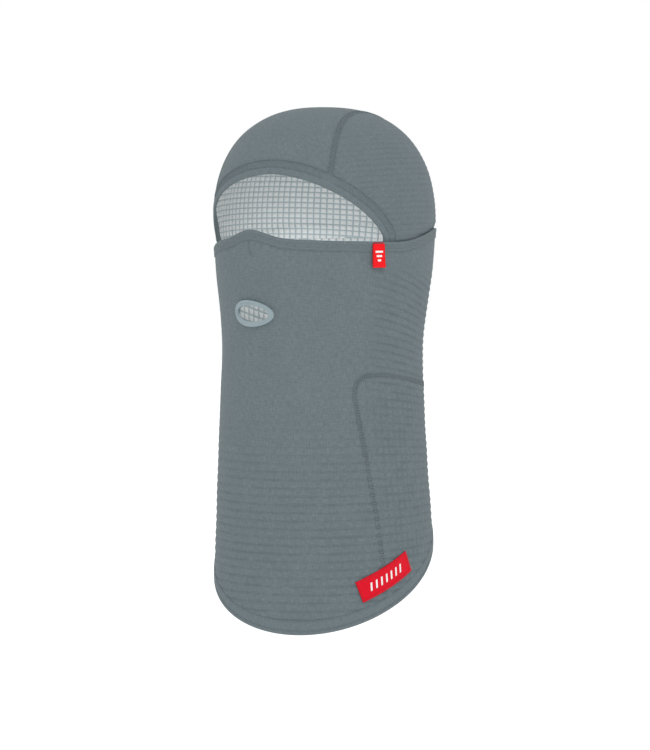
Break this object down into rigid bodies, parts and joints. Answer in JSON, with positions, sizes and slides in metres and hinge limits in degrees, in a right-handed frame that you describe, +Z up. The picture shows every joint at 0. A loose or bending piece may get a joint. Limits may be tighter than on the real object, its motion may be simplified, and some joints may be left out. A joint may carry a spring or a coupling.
{
  "type": "balaclava",
  "caption": "Hinged grid-fleece ski balaclava: hood joined to a long neck tube only at the back, moulded oval breathing hole in the mask, bib-shaped hem, small side tag and hem label.",
  "frame": {"origin": "the middle of the head cavity at the wearer's eye level, where a head holds the balaclava", "axes": "+Z up along the tube, -Y the way the face looks, +X towards the wearer's left ear"},
  "size_m": [0.1727, 0.2069, 0.4202],
  "materials": {
    "grid_fleece": "matt grey-green grid fleece",
    "seam_thread": "matt coverstitch thread",
    "moulded_ring": "satin pale blue-grey moulding",
    "red_ribbon": "woven red ribbon",
    "red_thread": "dark red thread"
  },
  "bodies": {
    "mask": {"mask_panel": "grid_fleece", "neck_back_panel": "grid_fleece", "mask_top_band": "grid_fleece", "bottom_hem": "grid_fleece", "neck_panel_seam": "seam_thread", "nape_seam": "seam_thread", "nose_dart_stitch": "seam_thread", "mask_band_stitch_upper": "seam_thread", "mask_band_stitch_middle": "seam_thread", "mask_band_stitch_lower": "seam_thread", "bottom_hem_stitch_upper": "seam_thread", "bottom_hem_stitch_lower": "seam_thread", "breathing_ring": "moulded_ring", "breathing_ring_backing": "moulded_ring", "hem_label": "red_ribbon", "side_tag_stitch": "red_thread", "hem_label_stitch": "red_thread"},
    "hood": {"hood_crown_panel": "grid_fleece", "hood_side_panel_left": "grid_fleece", "hood_side_panel_right": "grid_fleece", "hood_face_hem": "grid_fleece", "hood_face_hem_stitch": "seam_thread", "crown_seam_left": "seam_thread", "crown_seam_right": "seam_thread", "hood_back_seam": "seam_thread"},
    "side_tag": {"side_tag": "red_ribbon"}
  },
  "joints": [
    {"name": "hood_tip", "type": "hinge", "parent": "mask", "child": "hood", "pos_m": [0, 0.103, 0.0105], "axis": [-1, 0, 0], "range_deg": [0, 105]},
    {"name": "side_tag_flip", "type": "hinge", "parent": "mask", "child": "side_tag", "pos_m": [0.08067, -0.03569, -0.00148], "axis": [-0.2972, -0.9548, 0], "range_deg": [0, 150]}
  ]
}
